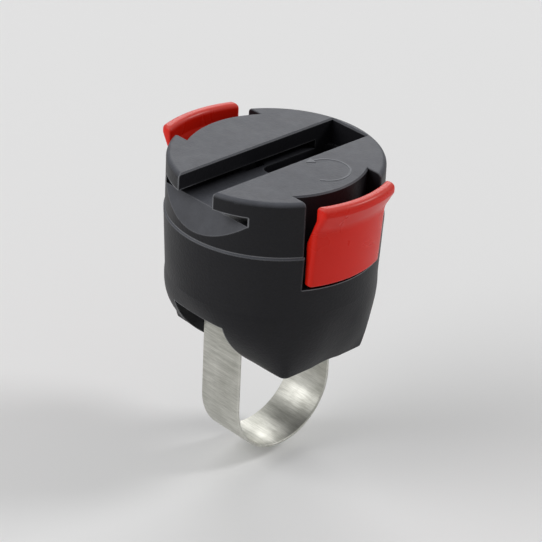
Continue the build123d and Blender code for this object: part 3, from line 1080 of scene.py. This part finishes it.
@dataclass
class ClampScrew:
    """The socket-head screw that pulls the strap tight: knurled head and real thread."""

    head_radius: float = 4.25 * MM
    head_height: float = 5.0 * MM
    edge: float = 0.5 * MM  # round the head's top and off the tip
    edge_steps: int = 5
    socket_flats: float = 4.0 * MM
    socket_depth: float = 2.8 * MM
    socket_cone: float = 0.6 * MM  # left by the drill below the flats
    mouth_depth: float = 0.25 * MM
    mouth_width: float = 0.45 * MM
    knurls: int = 48
    knurl_depth: float = 0.12 * MM
    knurl_fade: float = 0.15 * MM
    plain_band: float = 0.4 * MM  # between knurl and shoulder
    shoulder_edge: float = 0.2 * MM
    shank_radius: float = 2.5 * MM
    groove_radius: float = 2.0 * MM
    pitch: float = M5_PITCH
    thread_depth: float = 0.42 * MM
    crest_slope: float = 1.35  # over 1, so that the crests are flat
    steps: int = 144
    rings_per_pitch: int = 8

    def thread(self, z: float, deep: float) -> RadiusAt:
        """A right-hand thread's radius at one height.

        Args:
            z: Height of the ring.
            deep: Share of the full thread depth.

        Returns:
            The radius at each angle.
        """
        def radius(angle: float) -> float:
            """The thread's radius at one angle."""
            lift = min(1.0, self.crest_slope * thread_wave(z, angle, self.pitch))
            return self.shank_radius - deep * self.thread_depth * (1 - lift)
        return radius

    def head_rings(self, top: float) -> list[Ring]:
        """The socket and the knurled head, from the socket's bottom out to the shoulder.

        Args:
            top: Height of the head's top.

        Returns:
            The rings.
        """
        shoulder = top - self.head_height
        ridges = knurl(self.head_radius, self.knurl_depth, self.knurls)
        rings = [Ring(top - self.socket_depth - self.socket_cone, plain(PIN_HOLE)),
                 Ring(top - self.socket_depth, hexagon(self.socket_flats)),
                 Ring(top - self.mouth_depth, hexagon(self.socket_flats)),
                 Ring(top, plain(self.socket_flats / 2 + self.mouth_width))]
        for step in range(self.edge_steps + 1):
            angle = math.pi / 2 * step / self.edge_steps
            rings.append(Ring(top - self.edge * (1 - math.cos(angle)),
                              plain(self.head_radius - self.edge * (1 - math.sin(angle)))))
        return rings + [Ring(top - self.edge - self.knurl_fade, ridges),
                        Ring(shoulder + self.plain_band + self.knurl_fade, ridges),
                        Ring(shoulder + self.plain_band, plain(self.head_radius)),
                        Ring(shoulder + self.shoulder_edge, plain(self.head_radius)),
                        Ring(shoulder, plain(self.head_radius - self.shoulder_edge))]

    def build(self, wardrobe: Wardrobe) -> None:
        """Turn the screw in place of the plain one.

        Args:
            wardrobe: The finishes.
        """
        low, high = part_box("clamp_screw")
        clip_low, clip_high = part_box("retaining_clip")
        rings = self.head_rings(high.z)
        rings += [Ring(high.z - self.head_height, plain(self.shank_radius)),
                  Ring(clip_high.z, plain(self.shank_radius)),
                  Ring(clip_high.z, plain(self.groove_radius)),
                  Ring(clip_low.z, plain(self.groove_radius)),
                  Ring(clip_low.z, plain(self.shank_radius))]
        length = clip_low.z - low.z
        count = round(length / self.pitch * self.rings_per_pitch)
        for step in range(1, count + 1):
            down = length * step / count
            ring = self.thread(clip_low.z - down, min(1.0, down / self.pitch))
            tip = max(0.0, self.edge - (length - down))
            rings.append(Ring(clip_low.z - down,
                              lambda angle, ring=ring, tip=tip: ring(angle) - tip))
        piece = turned_piece("clamp_screw_m5", rings, middle("clamp_screw"), self.steps)
        wardrobe.stand_in(piece, "clamp_screw", "screw")


@dataclass
class ScrewWasher:
    """The flat washer under the screw's head, with both of its rims eased."""

    bore_radius: float = 2.7 * MM
    edge: float = 0.15 * MM
    lift: float = 0.01 * MM  # clear of the plate, so that it can turn
    steps: int = 96

    def build(self, wardrobe: Wardrobe) -> None:
        """Turn the washer in place of the plain one.

        Args:
            wardrobe: The finishes.
        """
        low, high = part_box("screw_washer")
        radius = (high.x - low.x) / 2
        bottom, edge = low.z + self.lift, self.edge
        rings = [Ring(bottom, plain(self.bore_radius + edge)),
                 Ring(bottom, plain(radius - edge)),
                 Ring(bottom + edge, plain(radius)),
                 Ring(high.z - edge, plain(radius)),
                 Ring(high.z, plain(radius - edge)),
                 Ring(high.z, plain(self.bore_radius + edge)),
                 Ring(high.z - edge, plain(self.bore_radius)),
                 Ring(bottom + edge, plain(self.bore_radius))]
        piece = turned_piece("flat_washer", rings, middle("screw_washer"), self.steps,
                             closed_loop=True)
        wardrobe.stand_in(piece, "screw_washer", "screw")


@dataclass
class TurnMark:
    """A low ridge moulded on the head's top: an open ring that ends in an arrowhead."""

    centre: Point2 = (10.2 * MM, 2.6 * MM)
    radius: float = 4.2 * MM
    width: float = 0.45 * MM
    height: float = 0.09 * MM
    sunk: float = 0.05 * MM  # how far it runs into the head
    draft: float = 0.08 * MM
    start: float = math.radians(-60.0)
    end: float = math.radians(170.0)
    arrow_length: float = 1.7 * MM
    arrow_half_width: float = 0.95 * MM
    steps: int = 48

    def build(self, wardrobe: Wardrobe) -> None:
        """Raise the ridge on the right half of the top.

        Args:
            wardrobe: The finishes.
        """
        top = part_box("head")[1].z
        low, high = self.radius - self.width / 2, self.radius + self.width / 2
        section = [(low, -self.sunk), (high, -self.sunk),
                   (high - self.draft, self.height), (low + self.draft, self.height)]
        sweep = self.end - self.start
        turns = [(self.start + sweep * step / self.steps, 0.0)
                 for step in range(self.steps + 1)]
        arc = lofted_bar("arc", section, turns, lambda u, v, w: Vector(
            (self.centre[0] + u * math.cos(w), self.centre[1] + u * math.sin(w), top + v)))
        along = Vector((-math.sin(self.end), math.cos(self.end)))
        out = Vector((math.cos(self.end), math.sin(self.end)))
        foot = Vector(self.centre) + self.radius * out
        tip = foot + self.arrow_length * along
        corners = [foot + self.arrow_half_width * out, tip, foot - self.arrow_half_width * out]
        arrow = lofted_bar("arrow", [tuple(corner) for corner in corners],
                           [(top - self.sunk, 0.0), (top + self.height, self.draft)],
                           lambda u, v, w: Vector((u, v, w)))
        piece = join_pieces("turn_mark", [arc, arrow])
        wardrobe.dress(piece, "black_plastic")
        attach(piece, "body")


@dataclass
class HousingScrews:
    """Four self-tapping pan-head screws that hold head, plate and housing together."""

    shank_radius: float = 1.3 * MM
    head_radius: float = 2.4 * MM
    head_height: float = 1.9 * MM
    crown_radius: float = 1.35 * MM  # flat round the recess
    dome_height: float = 1.71 * MM
    dome_steps: int = 6
    recess_flats: float = 1.903 * MM
    recess_depth: float = 1.0 * MM
    pitch: float = 1.0 * MM
    thread_depth: float = 0.32 * MM
    thread_fade: float = 1 / 6  # share of the shank over which the thread deepens
    tip_length: float = 1.1 * MM
    tip_slope: float = 0.75
    steps: int = 48
    rings_per_pitch: int = 8

    def one(self, x: float, y: float, low: float, high: float) -> bpy.types.Object:
        """Turn one screw that points upwards.

        Args:
            x: X of its axis.
            y: Y of its axis.
            low: Height of the head's underside, which carries the recess.
            high: Height of the tip.

        Returns:
            The screw.
        """
        seat = low + self.head_height
        dome_width = self.head_radius - self.crown_radius
        rings = [Ring(low + self.recess_depth, plain(PIN_HOLE)),
                 Ring(low + self.recess_depth, hexagon(self.recess_flats)),
                 Ring(low, hexagon(self.recess_flats))]
        for step in range(self.dome_steps + 1):
            angle = math.pi / 2 * step / self.dome_steps
            rings.append(Ring(low + self.dome_height * (1 - math.cos(angle)),
                              plain(self.crown_radius + dome_width * math.sin(angle))))
        rings += [Ring(seat, plain(self.head_radius)), Ring(seat, plain(self.shank_radius))]
        count = round((high - seat) / self.pitch * self.rings_per_pitch)
        for step in range(1, count + 1):
            z = seat + (high - seat) * step / count
            deep = self.thread_depth * min(1.0, step / count / self.thread_fade)
            crest = self.shank_radius - self.tip_slope * max(0.0, self.tip_length - (high - z))
            rings.append(Ring(z, lambda angle, z=z, deep=deep, crest=crest: (
                crest - deep * (1 - thread_wave(z, angle, self.pitch) ** 2))))
        return turned_piece("screw", rings, Vector((x, y, 0)), self.steps)

    def build(self, wardrobe: Wardrobe) -> None:
        """Turn the four screws and join them under one name.

        Args:
            wardrobe: The finishes.
        """
        low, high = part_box("housing_screws")
        spot_x = high.x - self.head_radius
        spot_y = high.y - self.head_radius
        screws = [self.one(sx * spot_x, sy * spot_y, low.z, high.z)
                  for sx in (-1, 1) for sy in (-1, 1)]
        wardrobe.stand_in(join_pieces("pan_head_screws", screws), "housing_screws", "body")


@dataclass
class ThreadedInsert:
    """The flanged brass nut in the yoke: knurled outside, threaded inside."""

    radius: float = 3.59 * MM
    flange: float = 0.8 * MM
    flange_radius: float = 3.94 * MM
    bore: float = 2.55 * MM
    knurls: int = 36
    knurl_depth: float = 0.15 * MM
    edge: float = 0.15 * MM
    pitch: float = M5_PITCH
    thread_depth: float = 0.12 * MM
    steps: int = 144
    rings_per_pitch: int = 8

    def build(self, wardrobe: Wardrobe) -> None:
        """Turn the insert in place of the plain one.

        Args:
            wardrobe: The finishes.
        """
        low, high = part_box("threaded_insert")
        collar = low.z + self.flange
        ridges = knurl(self.radius, self.knurl_depth, self.knurls)
        rings = [Ring(low.z, plain(self.bore + self.edge)),
                 Ring(low.z, plain(self.flange_radius - self.edge)),
                 Ring(low.z + self.edge, plain(self.flange_radius)),
                 Ring(collar, plain(self.flange_radius)),
                 Ring(collar, plain(self.radius - self.knurl_depth)),
                 Ring(collar + self.edge, ridges),
                 Ring(high.z - 2 * self.edge, ridges),
                 Ring(high.z, plain(self.radius - 2 * self.edge)),
                 Ring(high.z, plain(self.bore + self.edge))]
        count = round((high.z - low.z) / self.pitch * self.rings_per_pitch)
        for step in range(1, count):
            z = high.z - (high.z - low.z) * step / count
            rings.append(Ring(z, lambda angle, z=z: (
                self.bore + self.thread_depth * (1 - thread_wave(z, angle, self.pitch)))))
        piece = turned_piece("flanged_nut", rings, middle("threaded_insert"), self.steps,
                             closed_loop=True)
        wardrobe.stand_in(piece, "threaded_insert", "clamp")


@dataclass
class StrapBand:
    """The steel band round the bar, folded over a pin at each end."""

    thickness: float = 0.55 * MM
    tail: float = 2.2 * MM  # of the folded end, below the pin
    edge: float = 0.16 * MM
    edge_steps: int = 3
    straight_steps: int = 8
    arc_steps: int = 72
    fold_steps: int = 18

    def path(self, half_y: float, pin: Vector) -> list[tuple[Vector, Vector]]:
        """The band's middle line and outward direction, from one tail to the other.

        Args:
            half_y: Distance from the bar's axis to the middle of the band.
            pin: Middle of the rear pin, whose front twin mirrors it.

        Returns:
            (place, outward) pairs in the YZ plane.
        """
        fold = half_y - pin.y
        side: list[tuple[Vector, Vector]] = []
        tail_low = pin.z - self.tail
        for step in range(self.straight_steps):
            z = tail_low + self.tail * step / self.straight_steps
            side.append((Vector((0, pin.y - fold, z)), Vector((0, -1, 0))))
        for step in range(self.fold_steps + 1):
            angle = math.pi - math.pi * step / self.fold_steps
            outward = Vector((0, math.cos(angle), math.sin(angle)))
            side.append((Vector((0, pin.y, pin.z)) + outward * fold, outward))
        for step in range(1, self.straight_steps):
            z = pin.z * (1 - step / self.straight_steps)
            side.append((Vector((0, half_y, z)), Vector((0, 1, 0))))
        arc = []
        for step in range(self.arc_steps + 1):
            angle = -math.pi * step / self.arc_steps
            outward = Vector((0, math.cos(angle), math.sin(angle)))
            arc.append((outward * half_y, outward))
        mirrored = [(Vector((0, -p.y, p.z)), Vector((0, -n.y, n.z))) for p, n in reversed(side)]
        return side + arc + mirrored

    def build(self, wardrobe: Wardrobe) -> None:
        """Bend the band in place of the plain one.

        Args:
            wardrobe: The finishes.
        """
        low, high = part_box("strap")
        half_t = self.thickness / 2
        section = rounded_box((high.x - low.x) / 2, half_t, self.edge, self.edge_steps)
        route = self.path(high.y - half_t, middle("strap_pin_rear"))
        points = [place + Vector((x, 0, 0)) + outward * t
                  for place, outward in route for x, t in section]
        piece = new_piece("steel_band", points, skin(len(route), len(section)))
        wardrobe.stand_in(piece, "strap", "clamp")


@dataclass
class SaddlePad:
    """The ribbed rubber block that presses on the bar."""

    bar_radius: float = 11.1 * MM
    edge: float = 0.35 * MM
    grooves: int = 5
    groove_depth: float = 0.35 * MM
    groove_step: float = math.radians(8.0)
    groove_width: float = math.radians(2.6)
    columns: int = 96
    rows: int = 8

    def underside(self, y: float) -> float:
        """The concave, grooved underside.

        Args:
            y: Place across the bar.

        Returns:
            Its height above the bar's axis.
        """
        angle = math.asin(y / self.bar_radius)
        radius = self.bar_radius
        for index in range(self.grooves):
            centre = self.groove_step * (index - (self.grooves - 1) / 2)
            near = abs(angle - centre) / self.groove_width
            if near < 1:
                radius += self.groove_depth * math.cos(near * math.pi / 2)
        return math.sqrt(radius * radius - y * y)

    def build(self, wardrobe: Wardrobe) -> None:
        """Mould the pad in place of the plain one.

        Args:
            wardrobe: The finishes.
        """
        low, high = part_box("saddle_pad")
        bottom = [low.y + (high.y - low.y) * i / self.columns for i in range(self.columns + 1)]
        corners = rounded_outline([(high.y, high.z, self.edge), (low.y, high.z, self.edge),
                                   (low.y, low.z, 0), (high.y, low.z, 0)])
        upper_points = 2 * (ROUND_STEPS + 1)  # the two rounded corners, without the lower two
        outline = [(y, self.underside(y)) for y in bottom] + corners[:upper_points]
        piece = lofted_bar("ribbed_pad", outline,
                           rounded_stations(low.x, high.x, self.edge, self.rows),
                           lambda u, v, w: Vector((w, u, v)))
        wardrobe.stand_in(piece, "saddle_pad", "body")


# ---- studio ----


@dataclass(frozen=True)
class Lamp:
    """A round softbox: where it stands, how wide it is and its power in watts."""

    name: str
    place: tuple[float, float, float]
    size: float
    power: float


@dataclass
class Studio:
    """A plain pale floor, soft light and the camera."""

    floor_half: float = 3.0
    strap_room: float = 2.45 * MM  # the strap comes down by this when the screw is loosened
    pale: Colour = (0.86, 0.86, 0.86)
    floor_shine: float = 0.1
    world_level: float = 0.30
    eye: tuple[float, float, float] = (0.2690, -0.2595, 0.2317)
    aim_z: float = 0.0235
    lens: float = 155.0  # this and the next in millimetres, as the camera takes them
    sensor: float = 36.0
    nearest: float = 0.01
    roll: float = math.radians(2.76)
    lamps: tuple[Lamp, ...] = (
        Lamp("back_softbox", (-0.75, 0.68, 0.58), 0.80, 3.6),
        Lamp("rim_softbox", (0.47, 0.66, 0.70), 0.30, 3.2),
        Lamp("front_softbox", (-0.42, -0.75, 0.62), 0.90, 5.6),
    )

    def floor(self) -> None:
        """Lay the floor just under the lowest place that the strap reaches.

        The floor shows only from above, so the mount's underside can be seen too.
        """
        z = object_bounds()[0][2] - self.strap_room
        half = self.floor_half
        corners = [Vector((sx * half, sy * half, z))
                   for sx, sy in ((-1, -1), (1, -1), (1, 1), (-1, 1))]
        piece = new_piece("floor", corners, [(0, 1, 2, 3)])
        if piece.data.polygons[0].normal.z < 0:
            piece.data.flip_normals()
        material, graph = new_material("pale_floor")
        shader = graph.add("ShaderNodeBsdfPrincipled", Base_Color=(*self.pale, 1),
                           Roughness=0.9)
        shader.inputs["Specular IOR Level"].default_value = self.floor_shine
        clear = graph.add("ShaderNodeBsdfTransparent")
        side = graph.add("ShaderNodeNewGeometry").outputs["Backfacing"]
        both = graph.add("ShaderNodeMixShader", Fac=side)
        graph.feed(both.inputs[1], shader.outputs["BSDF"])
        graph.feed(both.inputs[2], clear.outputs["BSDF"])
        graph.add("ShaderNodeOutputMaterial", Surface=both.outputs["Shader"])
        piece.data.materials.append(material)
        piece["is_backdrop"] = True

    def light(self) -> None:
        """Set an even pale world and a few large soft lamps."""
        world = bpy.data.worlds.new("studio")
        bpy.context.scene.world = world
        world.use_nodes = True
        graph = Graph(world.node_tree)
        sky = graph.add("ShaderNodeBackground", Color=(1, 1, 1, 1), Strength=self.world_level)
        graph.add("ShaderNodeOutputWorld", Surface=sky.outputs["Background"])
        for softbox in self.lamps:
            lamp = bpy.data.lights.new(softbox.name, "AREA")
            lamp.shape = "DISK"
            lamp.size = softbox.size
            lamp.energy = softbox.power
            holder = bpy.data.objects.new(softbox.name, lamp)
            holder.location = softbox.place
            towards = Vector((0, 0, self.aim_z)) - holder.location
            holder.rotation_euler = towards.to_track_quat("-Z", "Y").to_euler()
            bpy.context.scene.collection.objects.link(holder)

    def camera(self) -> None:
        """Place the camera and aim it at the mount, slightly rolled."""
        lens = bpy.data.cameras.new("camera")
        lens.lens = self.lens
        lens.sensor_width = self.sensor
        lens.clip_start = self.nearest
        holder = bpy.data.objects.new("camera", lens)
        forward = (Vector((0, 0, self.aim_z)) - Vector(self.eye)).normalized()
        level = forward.cross(Vector((0, 0, 1))).normalized()
        up = level.cross(forward)
        right = level * math.cos(self.roll) + up * math.sin(self.roll)
        top = right.cross(forward)
        turn = Matrix((right, top, -forward)).transposed().to_4x4()
        holder.matrix_world = Matrix.Translation(self.eye) @ turn
        bpy.context.scene.collection.objects.link(holder)
        bpy.context.scene.camera = holder

    def build(self) -> None:
        """Set up floor, light and camera."""
        bpy.context.scene.view_settings.view_transform = "Standard"
        self.floor()
        self.light()
        self.camera()


def main() -> None:
    """Build every sub-assembly in order."""
    logging.basicConfig(level=logging.INFO, format="%(message)s")
    wardrobe = Wardrobe()
    Shells().build(wardrobe)
    for side in Side:
        ReleaseButton(side).build(wardrobe)
        ReturnSpring(side).build(wardrobe)
    ClampScrew().build(wardrobe)
    ScrewWasher().build(wardrobe)
    TurnMark().build(wardrobe)
    HousingScrews().build(wardrobe)
    ThreadedInsert().build(wardrobe)
    StrapBand().build(wardrobe)
    SaddlePad().build(wardrobe)
    Studio().build()


if __name__ == "__main__":
    main()
